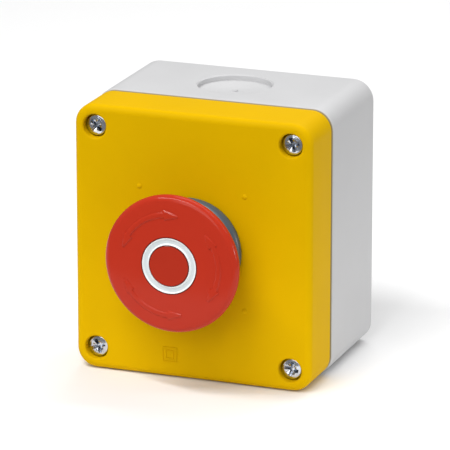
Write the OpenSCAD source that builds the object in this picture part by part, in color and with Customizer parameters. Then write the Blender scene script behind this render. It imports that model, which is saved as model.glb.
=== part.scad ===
// Emergency stop station: a two-part plastic box with a 22 mm mushroom actuator in its
// cover and two contact blocks behind it. The rear face lies on Y = 0, centred on the
// origin, and the cover looks along -Y. Every module is drawn lying on its back, with z
// counted from the rear face towards the front, and is then stood up.

/* [Box] */
// Width of the cover
cover_w = 73; // [68:0.5:90]
// Height of the cover
cover_h = 80; // [76:0.5:110]
// Depth from the rear face to the face of the cover
box_depth = 54; // [53:0.5:80]
// Depth of the cover, from the joint to its face
cover_depth = 17; // [13:0.5:22]
// Radius of the cover's upright corners
corner_r = 6; // [4.5:0.25:8]
// Radius of the edge round the cover's face
face_edge_r = 2; // [0.8:0.1:2.8]
// Radius of the edge round the rear face
rear_edge_r = 0.6; // [0.3:0.1:1.5]
// Radius of the box's edge along the joint
box_lip_r = 0.8; // [0.2:0.1:1.2]
// Radius of the cover's edge along the joint
cover_lip_r = 0.3; // [0.1:0.05:0.4]
// How far the box stands out past the cover all round
box_proud = 0.25; // [0.1:0.05:0.6]
// Thickness of the box's side walls
side_wall = 3.2; // [3:0.1:4]
// Thickness of the rear wall
rear_wall = 2.5; // [2:0.1:3]
// Thickness of the cover's face
face_wall = 2.5; // [2:0.1:4]
// Height of the shadow gap between box and cover
joint_gap = 0.7; // [0.2:0.05:0.8]
// Depth of the shadow gap, in from the outside
joint_gap_depth = 0.7; // [0.4:0.05:0.9]

/* [Box gasket] */
// Distance of the gasket groove from the inside of the wall
groove_inset = 0.7; // [0.5:0.05:0.9]
// Width of the gasket groove
groove_w = 1.3; // [1:0.05:1.4]
// Depth of the gasket groove
groove_depth = 2; // [1.4:0.1:3]
// Height of the gasket as the cover presses it
gasket_h = 1.2; // [0.8:0.1:1.3]
// Clearance on each side of what sits in the groove
groove_slack = 0.05; // [0.02:0.01:0.15]

/* [Cover screws] */
// Distance of each screw from the two nearest edges of the cover
screw_inset = 6.4; // [5.5:0.1:7]
// Diameter of the thread
screw_d = 4; // [3.5:0.1:4.5]
// Clearance on the diameter where the screws pass through the cover
screw_clearance = 0.4; // [0.2:0.1:0.8]
// Diameter of the screw head
screw_head_d = 6.3; // [5.6:0.1:6.6]
// Height of the screw head
screw_head_h = 2.4; // [1.8:0.1:3]
// Bevel round the top of the screw head
screw_head_bevel = 0.7; // [0.3:0.1:1]
// How far the screw head lies below the face
screw_sink = 1.2; // [0.5:0.1:3]
// Length of thread that holds in the box
screw_reach = 12; // [8:0.5:16]
// Room under the tip of the screw
screw_tip_room = 2; // [1:0.5:4]
// Width of the slots of the drive
drive_w = 0.9; // [0.6:0.1:1.2]
// Length of the slots of the drive
drive_len = 4.2; // [3.5:0.1:4.8]
// Depth of the slots of the drive
drive_depth = 1.4; // [0.8:0.1:1.6]
// Diameter of the recess that the head sits in
recess_d = 7; // [6.9:0.1:8.6]
// Radius round the mouth of the recess
recess_round = 0.6; // [0.2:0.1:0.8]
// Thickness of the sealing washer under the head
washer_t = 0.6; // [0.4:0.1:1]
// Clearance of the sealing washer on its diameter
washer_slack = 0.3; // [0.1:0.1:0.6]
// Radius of the screw posts
post_r = 5.8; // [5.2:0.1:6.2]

/* [Wall fixing] */
// Distance between the fixing holes, left to right
fix_span_x = 40; // [36:1:42]
// Distance between the fixing holes, top to bottom
fix_span_z = 58; // [54:1:60]
// Diameter of the fixing holes
fix_hole_d = 4.6; // [4:0.1:5.5]
// Diameter of the bosses round the fixing holes
fix_boss_d = 10; // [8:0.5:12]
// Height of the bosses over the rear wall
fix_boss_h = 2; // [1:0.25:4]
// Diameter of the cores that lighten the screw posts from behind
core_d = 6; // [4:0.5:7]
// Depth of the cores
core_depth = 14; // [8:0.5:18]

/* [Conduit knockouts] */
// Diameter of the recess, top and bottom
knockout_d = 22; // [18:0.1:26]
// Depth of the recess
knockout_depth = 1.7; // [0.6:0.1:1.8]
// Chamfer round the mouth of the recess
knockout_chamfer = 0.35; // [0.1:0.05:0.5]
// Diameter of the inner disc, for the smaller conduit
knockout_core_d = 14.6; // [12:0.1:17]
// How much deeper the inner disc lies
knockout_core_depth = 0.4; // [0.3:0.1:0.9]
// Width of the slope down to the inner disc
knockout_slope = 0.9; // [0.2:0.1:1.5]
// Diameter of the moulding mark in the middle
knockout_nib_d = 1.6; // [1:0.1:2.5]
// Height of the moulding mark
knockout_nib_h = 0.3; // [0.1:0.05:0.4]
// Distance of the knockouts' axis from the rear face
knockout_setback = 18.6; // [16:0.1:22]

/* [Marks on the face] */
// Diameter of the four raised dots
dot_d = 1.6; // [0.8:0.1:2]
// Height of the dots
dot_h = 0.3; // [0.1:0.05:0.5]
// Distance of the dots from the middle, sideways
dot_x = 16.2; // [16:0.1:20]
// Distance of the dots from the middle, up and down
dot_z = 17.15; // [16:0.05:22]

/* [Actuator body] */
// Diameter of the hole in the cover
hole_d = 22.3; // [22.2:0.05:22.6]
// Width of the locating notch in the hole
notch_w = 3.2; // [2.5:0.1:4]
// Depth of the locating notch past the hole
notch_depth = 0.9; // [0.6:0.05:1.2]
// Clearance of the key in the notch
notch_slack = 0.1; // [0.05:0.05:0.3]
// Thickness of the rubber washer under the collar
seat_t = 0.8; // [0.4:0.1:1.5]
// How far the rubber washer stays inside the edge of the collar
seat_inset = 0.3; // [0.1:0.1:1]
// Diameter of the collar
collar_d = 31; // [28:0.1:33]
// Height of the collar
collar_h = 2.2; // [1.8:0.1:2.8]
// Radius round the collar's edge
collar_round = 1.8; // [0.5:0.1:1.8]
// Outside diameter of the neck
neck_d = 24.4; // [23:0.1:25]
// Wall of the neck
neck_wall = 1.6; // [1:0.1:1.8]
// Clearance of the shank in the hole, on the diameter
shank_slack = 0.3; // [0.2:0.05:0.6]
// How far the shank reaches behind the face
shank_reach = 17.5; // [15:0.25:18]
// Bore of the shank
bore_d = 17; // [16:0.1:18]
// Thickness of the floor under the springs
cup_floor = 2; // [1.2:0.1:2.2]
// Wall of the tube that guides the stem
tube_wall = 2.2; // [1.6:0.1:2.3]
// How far the tube reaches behind the face
tube_reach = 7; // [6.5:0.25:8]
// Outside diameter of the ring nut
nut_d = 28; // [26:0.5:32]
// Height of the ring nut
nut_h = 4; // [3:0.25:5]
// Number of spanner notches round the nut
nut_notches = 8; // [6:1:12]
// Width of the spanner notches
nut_notch_w = 3; // [2:0.25:4]
// Depth of the spanner notches
nut_notch_depth = 1.2; // [0.8:0.1:1.8]

/* [Plunger] */
// Travel of the head, pressed to released
travel = 4; // [3:0.1:4.5]
// Running clearance of round sliding and turning fits, on the radius
running = 0.08; // [0.05:0.01:0.1]
// Diameter of the stem
stem_d = 8.24; // [7.6:0.02:8.6]
// Diameter of the journal that the hub turns on
journal_d = 6; // [5:0.1:6.4]
// Height of the hub's seat over the face
hub_seat = 11; // [10.5:0.1:11.8]
// Room left between neck and hub when pressed
press_room = 0.4; // [0.2:0.05:1]
// Room left between foot and contact blocks when pressed
foot_room = 0.2; // [0.1:0.05:0.5]
// Thickness of the foot
foot_t = 3.8; // [2.5:0.1:5]
// Diameter of the boss that stops the plunger on its way out
boss_d = 12.4; // [11:0.1:14]
// Width of the foot's guide keys
key_w = 2; // [1.5:0.1:3]
// How far the keys stand out of the foot
key_proud = 0.9; // [0.5:0.1:1]
// Clearance of the keys in their slots
key_slack = 0.25; // [0.15:0.05:0.5]
// Height of the stem seal
seal_h = 1.6; // [1:0.1:2]
// Wall of the stem seal
seal_wall = 1.3; // [0.8:0.1:1.4]

/* [Latch] */
// How far the latch pins lie behind the face
latch_level = 3.5; // [3:0.1:4]
// Diameter of the latch pins
pin_d = 2; // [1.6:0.1:2.4]
// How far the pins follow the taper of the stem
latch_drop = 1; // [0.6:0.05:1.2]
// Wire of the ring that presses the pins in
latch_wire = 0.6; // [0.4:0.05:0.7]
// Clearance on each side of that ring
latch_slack = 0.1; // [0.05:0.01:0.15]

/* [Springs] */
// Room between the two springs and the walls next to them
spring_room = 0.6; // [0.4:0.05:0.8]
// Wire of the trip spring
trip_wire = 0.9; // [0.7:0.05:1]
// Turns of the trip spring
trip_turns = 4; // [3:0.25:5]
// Wire of the twist spring
twist_wire = 0.6; // [0.4:0.05:0.7]
// Turns of the twist spring
twist_turns = 4; // [3:0.25:5]
// Clearance at the ends of all springs
spring_slack = 0.05; // [0.02:0.01:0.1]

/* [Head] */
// Diameter of the mushroom head
head_d = 40.8; // [36:0.1:44]
// Height of the head's widest circle over the face
head_rim = 15.4; // [15.1:0.1:16.5]
// Radius of the head's rim
head_rim_r = 2; // [1.8:0.1:2.4]
// Rise of the dome from the top of the rim to the middle
dome_rise = 0.9; // [0.6:0.1:1.5]
// Gap between the neck and the skirt round it
neck_gap = 0.8; // [0.6:0.1:1.2]
// Wall of the skirt
skirt_wall = 1.6; // [1.2:0.1:1.8]
// Room left between skirt and collar when pressed
skirt_room = 0.4; // [0.2:0.1:1]
// Gap between the hub's flange and the neck round it
flange_gap = 0.4; // [0.3:0.05:0.6]
// Thickness of the hub's flange
hub_flange_t = 1.6; // [1.2:0.1:2]
// Diameter of the hub's core, which fits in the head
hub_core_d = 15; // [14:0.1:16]
// Thickness of the head between the hub and the ring's pocket
head_web = 1.2; // [0.8:0.1:1.3]
// Thickness of the hub under its clip
hub_web = 2.6; // [2.2:0.1:3]
// Thickness of the hub clip
clip_t = 0.8; // [0.6:0.05:1]
// Outside diameter of the hub clip
clip_d = 9.6; // [9:0.1:10.5]
// Clearance of the hub clip
clip_slack = 0.1; // [0.05:0.01:0.15]
// Depth of the clip's groove in the journal
clip_groove = 0.6; // [0.4:0.05:0.8]
// Outside diameter of the white ring
ring_d = 16.4; // [15:0.1:18]
// Width of the white ring
ring_w = 2; // [1.5:0.1:2.5]
// Depth of the pocket for ring and cap, below the dome's crown
pocket_depth = 1.6; // [1.2:0.1:1.8]
// Depth of the channel in the ring, below the dome's crown
ring_channel = 0.5; // [0.25:0.05:0.6]
// Width of the channel's sloping sides
ring_slope = 0.4; // [0.2:0.1:0.6]
// Gap on each side of the ring
ring_gap = 0.1; // [0.05:0.05:0.2]
// Bevel round the cap
cap_bevel = 0.2; // [0.1:0.05:0.3]

/* [Coupling plate] */
// Thickness of the plate
plate_t = 2.5; // [2:0.1:3]
// Width of the plate
plate_w = 31; // [30:0.5:34]
// Radius of the plate's corners
plate_r = 3; // [1:0.5:4]
// Wall of the collar round the shank
plate_collar_wall = 2.2; // [1.6:0.1:3]
// Height of the collar
plate_collar_h = 6; // [4:0.5:6.5]
// Gap between the foot's keys and the opening in the plate
foot_gap = 0.9; // [0.6:0.1:1.2]
// Thickness of the hooks that hold the blocks
hook_t = 1.4; // [1:0.1:2]
// Length of the hooks
hook_len = 6; // [5:0.5:8]
// How far the hooks' noses reach in
hook_nose = 0.7; // [0.4:0.1:0.9]
// Clearance of the hooks
hook_slack = 0.1; // [0.05:0.05:0.3]
// Diameter of the clamping screws
clamp_screw_d = 3; // [2.5:0.1:3.5]
// Length of the clamping screws
clamp_screw_len = 4.5; // [3:0.5:6]

/* [Contact blocks] */
// Width of one block
block_w = 10; // [9.5:0.1:10.2]
// Distance between the two blocks' middles
block_pitch = 10.4; // [10.3:0.1:10.8]
// Height of a block
block_h = 38; // [36:0.5:40]
// Depth of a block
block_depth = 24; // [23.5:0.5:26]
// Wall of a block
block_wall = 1.2; // [1:0.1:1.3]
// Length of the working chamber
chamber_h = 22; // [20:0.5:22]
// Thickness of a block's floor
floor_t = 1.5; // [1:0.1:2]
// Thickness of the cap
cap_t = 2; // [1.5:0.1:2.5]
// Length of the cap
cap_h = 24; // [23:0.5:26]
// Seat under the cap's edge, each side
cap_seat = 0.4; // [0.2:0.1:0.6]
// Diameter of a block's plunger
block_plunger_d = 4; // [3.6:0.1:4.2]
// Level of the resting contacts of the closed block, below its top
closed_level = 6; // [5.5:0.1:7]
// Level of the fixed contacts of the open block, below its top
open_level = 12.8; // [12.6:0.1:13.4]
// Gap of the open contacts
contact_gap = 2.4; // [1.6:0.1:2.6]
// Thickness of all contact strips
strip_t = 0.8; // [0.6:0.05:1]
// Width of the fixed strips
strip_w = 4.4; // [3.6:0.1:5]
// Distance of the fixed strips' ends from the middle
strip_end = 4.4; // [4:0.1:4.6]
// Level of the terminal flange, below the top
flange_level = 16; // [15.6:0.1:16.6]
// Diameter of the contact rivets
rivet_d = 2.8; // [2:0.1:3]
// Height of the contact rivets
rivet_h = 0.6; // [0.4:0.05:0.8]
// Distance of the rivets from the middle
rivet_out = 6; // [5.9:0.1:6.4]
// Width of the moving bridges
bridge_w = 3.6; // [3.2:0.1:4]
// Length of the moving bridges
bridge_len = 16; // [15.6:0.1:18]
// Wall of the yoke that carries the closed block's bridge
yoke_wall = 1.2; // [0.8:0.1:1.3]
// Room round the bridge in the yoke
yoke_room = 0.2; // [0.1:0.05:0.3]
// Length of the yoke along the bridge
yoke_len = 4; // [3:0.1:4.6]
// Height of the yoke under the bridge
yoke_foot = 2.2; // [1.5:0.1:3]
// Diameter of the thin stem in the open block
thin_stem_d = 2; // [1.6:0.1:2]
// Level of the shoulder over the thin stem, below the top
shoulder_level = 4; // [3.5:0.1:4.5]
// Diameter of the flange that lifts the open bridge
lifter_d = 4; // [3.6:0.1:5]
// Thickness of that flange
lifter_t = 0.8; // [0.6:0.1:1.2]
// Length of the thin stem below that flange
thin_tail = 6; // [3:0.5:7]
// Mean radius of the block springs
block_spring_r = 1.6; // [1.5:0.05:1.7]
// Wire of the block springs
block_wire = 0.4; // [0.3:0.05:0.45]
// Turns of the return springs
return_turns = 6; // [4:0.5:7]
// Turns of the contact spring
contact_turns = 3; // [2:0.5:4]

/* [Terminals] */
// Diameter of the terminal screws' thread
term_d = 3; // [2.5:0.1:3.2]
// Diameter of the terminal screws' heads
term_head_d = 4.8; // [4:0.1:5]
// Height of the heads
term_head_h = 2; // [1.5:0.1:2.4]
// Length of the thread
term_len = 4.2; // [3:0.1:5]
// Width of the slot in the heads
term_slot = 0.8; // [0.5:0.1:1]
// Size of the square clamp plates
clamp_size = 4.4; // [4:0.1:4.8]
// Thickness of the clamp plates
clamp_t = 1; // [0.6:0.1:1.2]
// Clearance of the screws in the clamp plates, on the diameter
clamp_slack = 0.3; // [0.1:0.1:0.5]
// Width of the wire entries
wire_w = 4.4; // [3:0.1:5]
// Height of the wire entries
wire_h = 4; // [3:0.1:5]

/* [Hidden] */
$fn = 72;

// Extra length that lets a cut run clear of what it cuts
over = 1;

// Facets of the full circle that the shallow dome is a small part of
dome_fn = 1800;

// The box
base_w = cover_w + 2 * box_proud;
base_h = cover_h + 2 * box_proud;
base_corner_r = corner_r + box_proud;
base_depth = box_depth - cover_depth;
cavity_w = base_w - 2 * side_wall;
cavity_h = base_h - 2 * side_wall;
screw_x = cover_w / 2 - screw_inset;
screw_z = cover_h / 2 - screw_inset;
screw_recess = screw_sink + screw_head_h + washer_t;
dot_r = (dot_d * dot_d / 4 + dot_h * dot_h) / (2 * dot_h);

// Levels of the actuator, counted from the face of the cover
collar_top = seat_t + collar_h;
neck_top = hub_seat + hub_flange_t - travel - press_room;
tube_top = hub_seat - travel - press_room;
neck_r = neck_d / 2;
shank_r = (hole_d - shank_slack) / 2;
seat_r = collar_d / 2 - seat_inset;
bore_r = bore_d / 2;
stem_r = stem_d / 2;
stem_bore_r = stem_r + running;
tube_r = stem_bore_r + tube_wall;
foot_r = bore_r - running;
slot_r = foot_r + key_proud + key_slack;
plate_hole_r = foot_r + key_proud + foot_gap;
foot_level = shank_reach + plate_t - travel - foot_room;
journal_r = journal_d / 2;
clip_level = hub_seat + hub_web + clip_slack;
seal_r = stem_r + seal_wall;
twist_r = tube_r + spring_room + twist_wire / 2;
trip_r = neck_r - neck_wall - spring_room - trip_wire / 2;

// The latch taper starts level with the lower side of the pins
taper_foot = -latch_level - pin_d / 2;
groove_top = -latch_level + pin_d / 2 + travel + running;
pin_tip = stem_bore_r;
pin_tail = bore_r - 2 * latch_slack - latch_wire;
latch_ring_r = bore_r - latch_slack - latch_wire / 2;

// The head, whose dome runs smoothly into the round rim at dome_edge
head_r = head_d / 2;
head_flat_r = head_r - head_rim_r;
head_rise = head_rim_r + dome_rise;
head_top = head_rim + head_rise;
dome_r = (head_flat_r * head_flat_r + head_rise * head_rise - head_rim_r * head_rim_r)
    / (2 * dome_rise);
dome_edge = head_flat_r * dome_r / (dome_r - head_rim_r);
skirt_inner_r = neck_r + neck_gap;
skirt_r = skirt_inner_r + skirt_wall;
skirt_level = collar_top + travel + skirt_room;
hub_flange_r = neck_r - neck_wall - flange_gap;
under_r = head_flat_r - skirt_r;
under_level = head_rim - head_rim_r;
pocket_floor = head_top - pocket_depth;
ceiling = pocket_floor - head_web;
journal_top = (ceiling + clip_level + clip_t) / 2;
pocket_r = ring_d / 2 + ring_gap;
ring_inner_r = ring_d / 2 - ring_w;

// The contact blocks hang under the coupling plate
plate_top = -shank_reach;
block_top = plate_top - plate_t;
plunger_top = -foot_level - block_top;
chamber_w = block_w - 2 * block_wall;
chamber_floor = -block_depth + floor_t;
cap_w = chamber_w + 2 * cap_seat;
pocket_in = chamber_h / 2 + block_wall;
pocket_out = block_h / 2 - block_wall;
term_y = (pocket_in + pocket_out) / 2;
closed_bridge = -closed_level - strip_t - 2 * rivet_h - strip_t;
open_bridge = -open_level + 2 * rivet_h + contact_gap;
lifter_level = open_bridge - lifter_t;

// Puts a part that was drawn on its back into its place, face to the front
module stand_up() {
    rotate([90, 0, 0]) children();
}

// The same for parts that are measured from the face of the cover
module on_face() {
    stand_up() translate([0, 0, box_depth]) children();
}

// Rectangle with round corners
module rounded(w, h, r) {
    square([w, h - 2 * r], center = true);
    square([w - 2 * r, h], center = true);
    for (x = [-1, 1], y = [-1, 1])
        translate([x * (w / 2 - r), y * (h / 2 - r)]) circle(r);
}

// Upright section of a block, its two top edges rounded by e and the two below by f
module crowned(w, d, e, f) {
    translate([-w / 2, f]) square([w, d - e - f]);
    translate([-w / 2 + e, f]) square([w - 2 * e, d - f]);
    translate([-w / 2 + f, 0]) square([w - 2 * f, d - e]);
    for (s = [-1, 1]) {
        translate([s * (w / 2 - e), d - e]) circle(e);
        translate([s * (w / 2 - f), f]) circle(f);
    }
}

// Half of such a section, out to radius r, with its bottom edge sharp
module crowned_half(r, d, e) {
    square([r, d - e]);
    square([r - e, d]);
    translate([r - e, d - e]) circle(e);
}

// One corner of that block, turned about its upright axis
module crowned_corner(r, d, e, f) {
    rotate_extrude(angle = 90) {
        translate([0, f]) crowned_half(r, d - f, e);
        square([r - f, d - e]);
        translate([r - f, f]) circle(f);
    }
}

// Block on z = 0 with upright corners of radius r, its top edge rounded by e and its bottom one by f
module soft_block(w, h, d, r, e, f) {
    rotate([90, 0, 90]) linear_extrude(w - 2 * r, center = true) crowned(h, d, e, f);
    rotate([90, 0, 0]) linear_extrude(h - 2 * r, center = true) crowned(w, d, e, f);
    for (i = [0 : 3]) {
        x = (i == 0 || i == 3 ? 1 : -1) * (w / 2 - r);
        y = (i < 2 ? 1 : -1) * (h / 2 - r);
        translate([x, y, 0]) rotate([0, 0, 90 * i]) crowned_corner(r, d, e, f);
    }
}

// Its children at the four cover screws, each turned so that +x and +y point outwards
module at_screws() {
    for (x = [0, 1], y = [0, 1])
        mirror([x, 0, 0]) mirror([0, y, 0]) translate([screw_x, screw_z, 0]) children();
}

// Plan of one screw post, with everything between it and the outside
module post_plan(reach) {
    far = screw_inset + side_wall;
    circle(reach);
    translate([-reach, 0]) square([reach + far, far]);
    translate([0, -reach]) square([far, reach + far]);
}

// Plan of the hollow inside, grown all round
module cavity_plan(grow) {
    difference() {
        square([cavity_w + 2 * grow, cavity_h + 2 * grow], center = true);
        at_screws() post_plan(post_r - grow);
    }
}

// Plan of a band that runs round inside the wall
module band_plan(inset, w) {
    difference() {
        cavity_plan(inset + w);
        cavity_plan(inset);
    }
}

// Round wire wound into a helix between two levels
module coil(mean_r, wire_d, low, high, turns, steps = 18, sides = 8) {
    wire_r = wire_d / 2;
    rise = high - low - wire_d;
    count = round(turns * steps);
    points = [
        for (i = [0 : count], k = [0 : sides - 1])
            let (t = 360 * i / steps, a = 360 * k / sides, r = mean_r + wire_r * cos(a))
                [r * cos(t), r * sin(t), low + wire_r + rise * i / count + wire_r * sin(a)]
    ];
    walls = [
        for (i = [0 : count - 1], k = [0 : sides - 1])
            let (a = i * sides + k, b = i * sides + (k + 1) % sides)
                [a, b, b + sides, a + sides]
    ];
    first = [for (k = [sides - 1 : -1 : 0]) k];
    last = [for (k = [0 : sides - 1]) count * sides + k];
    polyhedron(points, concat([first], walls, [last]), convexity = 10);
}

module base_box() {
    color("gainsboro") stand_up() difference() {
        base_shell();
        translate([0, 0, base_depth - groove_depth])
            linear_extrude(groove_depth + over) band_plan(groove_inset, groove_w);
        at_screws() {
            translate([0, 0, base_depth - screw_reach - screw_tip_room])
                cylinder(d = screw_d, h = screw_reach + screw_tip_room + over);
            translate([0, 0, -over]) cylinder(d = core_d, h = core_depth + over);
        }
        for (x = [-1, 1], y = [-1, 1])
            translate([x * fix_span_x / 2, y * fix_span_z / 2, -over])
                cylinder(d = fix_hole_d, h = rear_wall + fix_boss_h + 2 * over);
        for (y = [-1, 1]) translate([0, y * base_h / 2, knockout_setback]) rotate([y * 90, 0, 0])
            knockout();
    }
}

// The box's walls, posts and bosses before any hole is cut. Its outer lip ends below the
// joint, and a land inside the lip carries the cover, which leaves the shadow gap open.
module base_shell() {
    difference() {
        union() {
            soft_block(base_w, base_h, base_depth - joint_gap, base_corner_r, box_lip_r, rear_edge_r);
            translate([0, 0, base_depth / 2]) linear_extrude(base_depth / 2)
                rounded(base_w - 2 * joint_gap_depth, base_h - 2 * joint_gap_depth,
                    base_corner_r - joint_gap_depth);
        }
        translate([0, 0, rear_wall]) linear_extrude(base_depth) cavity_plan(0);
    }
    for (x = [-1, 1], y = [-1, 1])
        translate([x * fix_span_x / 2, y * fix_span_z / 2, 0])
            cylinder(d = fix_boss_d, h = rear_wall + fix_boss_h);
}

// Recess of a conduit knockout, from the outside inwards along z, with the smaller disc in it
module knockout() {
    rim_r = knockout_d / 2;
    core_r = knockout_core_d / 2;
    nib_r = knockout_nib_d / 2;
    core_z = knockout_depth + knockout_core_depth;
    rotate_extrude() polygon([
        [0, -over],
        [rim_r + knockout_chamfer + over, -over],
        [rim_r, knockout_chamfer],
        [rim_r, knockout_depth],
        [core_r, knockout_depth],
        [core_r - knockout_slope, core_z],
        [nib_r, core_z],
        [nib_r, core_z - knockout_nib_h],
        [0, core_z - knockout_nib_h]
    ]);
}

module cover() {
    tongue = groove_depth - gasket_h;
    color("gold") stand_up() difference() {
        union() {
            translate([0, 0, base_depth])
                soft_block(cover_w, cover_h, cover_depth, corner_r, face_edge_r, cover_lip_r);
            translate([0, 0, base_depth - tongue]) linear_extrude(tongue + over)
                band_plan(groove_inset + groove_slack, groove_w - 2 * groove_slack);
            for (x = [-1, 1], y = [-1, 1])
                translate([x * dot_x, y * dot_z, box_depth + dot_h - dot_r]) sphere(dot_r);
        }
        translate([0, 0, base_depth - over])
            linear_extrude(cover_depth - face_wall + over) cavity_plan(0);
        at_screws() screw_way();
        translate([0, 0, box_depth - face_wall - over]) {
            cylinder(d = hole_d, h = face_wall + 2 * over);
            translate([-notch_w / 2, 0, 0])
                cube([notch_w, hole_d / 2 + notch_depth, face_wall + 2 * over]);
        }
    }
}

// Hole for one cover screw: clearance for the thread, seat and rounded mouth
module screw_way() {
    way_r = (screw_d + screw_clearance) / 2;
    recess_r = recess_d / 2;
    mouth_r = recess_r + recess_round;
    rotate_extrude() {
        polygon([
            [0, base_depth - over],
            [way_r, base_depth - over],
            [way_r, box_depth - screw_recess],
            [recess_r, box_depth - screw_recess],
            [recess_r, box_depth + over],
            [0, box_depth + over]
        ]);
        difference() {
            translate([0, box_depth - recess_round]) square([mouth_r, recess_round + over]);
            translate([mouth_r, box_depth - recess_round]) circle(recess_round);
        }
    }
}

module cover_gasket() {
    color("dimgray") stand_up() translate([0, 0, base_depth - groove_depth])
        linear_extrude(gasket_h) band_plan(groove_inset + groove_slack, groove_w - 2 * groove_slack);
}

module cover_screws() {
    head_r = screw_head_d / 2;
    color("silver") stand_up() at_screws() translate([0, 0, box_depth - screw_sink]) difference() {
        rotate_extrude() polygon([
            [0, 0],
            [head_r - screw_head_bevel, 0],
            [head_r, -screw_head_bevel],
            [head_r, -screw_head_h],
            [screw_d / 2, -screw_head_h],
            [screw_d / 2, screw_sink - cover_depth - screw_reach + screw_d / 4],
            [screw_d / 4, screw_sink - cover_depth - screw_reach],
            [0, screw_sink - cover_depth - screw_reach]
        ]);
        for (a = [45, 135]) rotate([0, 0, a])
            translate([-drive_len / 2, -drive_w / 2, -drive_depth])
                cube([drive_len, drive_w, drive_depth + over]);
    }
}

module screw_washers() {
    color("black") stand_up() at_screws() translate([0, 0, box_depth - screw_recess]) difference() {
        cylinder(d = recess_d - washer_slack, h = washer_t);
        translate([0, 0, -over]) cylinder(d = screw_d + washer_slack, h = washer_t + 2 * over);
    }
}

module panel_washer() {
    color("black") on_face() difference() {
        cylinder(r = seat_r, h = seat_t);
        translate([0, 0, -over]) cylinder(d = hole_d, h = seat_t + 2 * over);
    }
}

// Half section of the collar, with its front edge rounded
module collar_section() {
    translate([0, seat_t]) intersection() {
        crowned_half(collar_d / 2, collar_h, collar_round);
        translate([shank_r, 0]) square([collar_d, collar_h]);
    }
}

module actuator_body() {
    key_r = hole_d / 2 + notch_depth - notch_slack;
    color("darkslategray") on_face() difference() {
        union() {
            rotate_extrude() collar_section();
            rotate_extrude() polygon([
                [neck_r - neck_wall, neck_top],
                [neck_r, neck_top],
                [neck_r, seat_t],
                [shank_r, seat_t],
                [shank_r, -shank_reach],
                [bore_r, -shank_reach],
                [bore_r, 0],
                [tube_r, 0],
                [tube_r, -tube_reach],
                [stem_bore_r, -tube_reach],
                [stem_bore_r, tube_top],
                [tube_r, tube_top],
                [tube_r, cup_floor],
                [neck_r - neck_wall, cup_floor]
            ]);
            translate([-notch_w / 2 + notch_slack, bore_r + neck_wall / 2, -face_wall])
                cube([notch_w - 2 * notch_slack, key_r - bore_r - neck_wall / 2, face_wall]);
        }
        translate([0, 0, tube_top - seal_h]) cylinder(r = seal_r, h = seal_h + over);
        for (s = [-1, 1]) translate([0, 0, -latch_level]) rotate([0, s * 90, 0])
            translate([0, 0, stem_r - over]) cylinder(r = pin_d / 2 + running, h = tube_wall + 2 * over);
        for (s = [-1, 1]) translate([0, s * bore_r, -shank_reach / 2 - over])
            cube([key_w + 2 * key_slack, 2 * (slot_r - bore_r), shank_reach + 2 * over], center = true);
    }
}

module ring_nut() {
    color("silver") on_face() translate([0, 0, -face_wall - nut_h]) difference() {
        cylinder(d = nut_d, h = nut_h);
        translate([0, 0, -over]) cylinder(r = shank_r, h = nut_h + 2 * over);
        for (i = [1 : nut_notches]) rotate([0, 0, 360 * i / nut_notches])
            translate([nut_d / 2 - nut_notch_depth, -nut_notch_w / 2, -over])
                cube([nut_notch_depth + over, nut_notch_w, nut_h + 2 * over]);
    }
}

module stem_seal() {
    color("black") on_face() translate([0, 0, tube_top - seal_h]) difference() {
        cylinder(r = seal_r, h = seal_h);
        translate([0, 0, -over]) cylinder(r = stem_bore_r, h = seal_h + 2 * over);
    }
}

module plunger() {
    taper_r = stem_r - latch_drop;
    groove_r = journal_r - clip_groove;
    color("ivory") on_face() union() {
        rotate_extrude() polygon([
            [0, -foot_level],
            [foot_r, -foot_level],
            [foot_r, foot_t - foot_level],
            [boss_d / 2, foot_t - foot_level],
            [boss_d / 2, -tube_reach],
            [stem_r, -tube_reach],
            [stem_r, taper_foot],
            [taper_r, taper_foot + travel],
            [taper_r, groove_top],
            [stem_r, groove_top],
            [stem_r, hub_seat],
            [journal_r, hub_seat],
            [journal_r, clip_level],
            [groove_r, clip_level],
            [groove_r, clip_level + clip_t],
            [journal_r, clip_level + clip_t],
            [journal_r, journal_top],
            [0, journal_top]
        ]);
        for (s = [-1, 1])
            translate([-key_w / 2, s > 0 ? boss_d / 2 - over : -foot_r - key_proud, -foot_level])
            cube([key_w, foot_r + key_proud - boss_d / 2 + over, foot_t]);
    }
}

module hub_clip() {
    color("silver") on_face() translate([0, 0, clip_level]) difference() {
        cylinder(d = clip_d, h = clip_t);
        translate([0, 0, -over]) cylinder(r = journal_r - clip_groove, h = clip_t + 2 * over);
        translate([0, -journal_r / 2, -over]) cube([clip_d, journal_r, clip_t + 2 * over]);
    }
}

module head_hub() {
    color("dimgray") on_face() rotate_extrude() polygon([
        [journal_r + running, hub_seat],
        [hub_flange_r, hub_seat],
        [hub_flange_r, hub_seat + hub_flange_t],
        [hub_core_d / 2, hub_seat + hub_flange_t],
        [hub_core_d / 2, ceiling],
        [clip_d / 2 + clip_slack, ceiling],
        [clip_d / 2 + clip_slack, hub_seat + hub_web],
        [journal_r + running, hub_seat + hub_web]
    ]);
}

// Half section of the head: dome, round rim and a hollow curve down to the skirt
module head_section() {
    intersection() {
        translate([0, head_top - dome_r]) circle(dome_r, $fn = dome_fn);
        translate([0, head_rim]) square([dome_edge, head_rise]);
    }
    translate([0, skirt_level]) square([head_flat_r, head_rim - skirt_level]);
    translate([head_flat_r, head_rim]) circle(head_rim_r);
}

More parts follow.
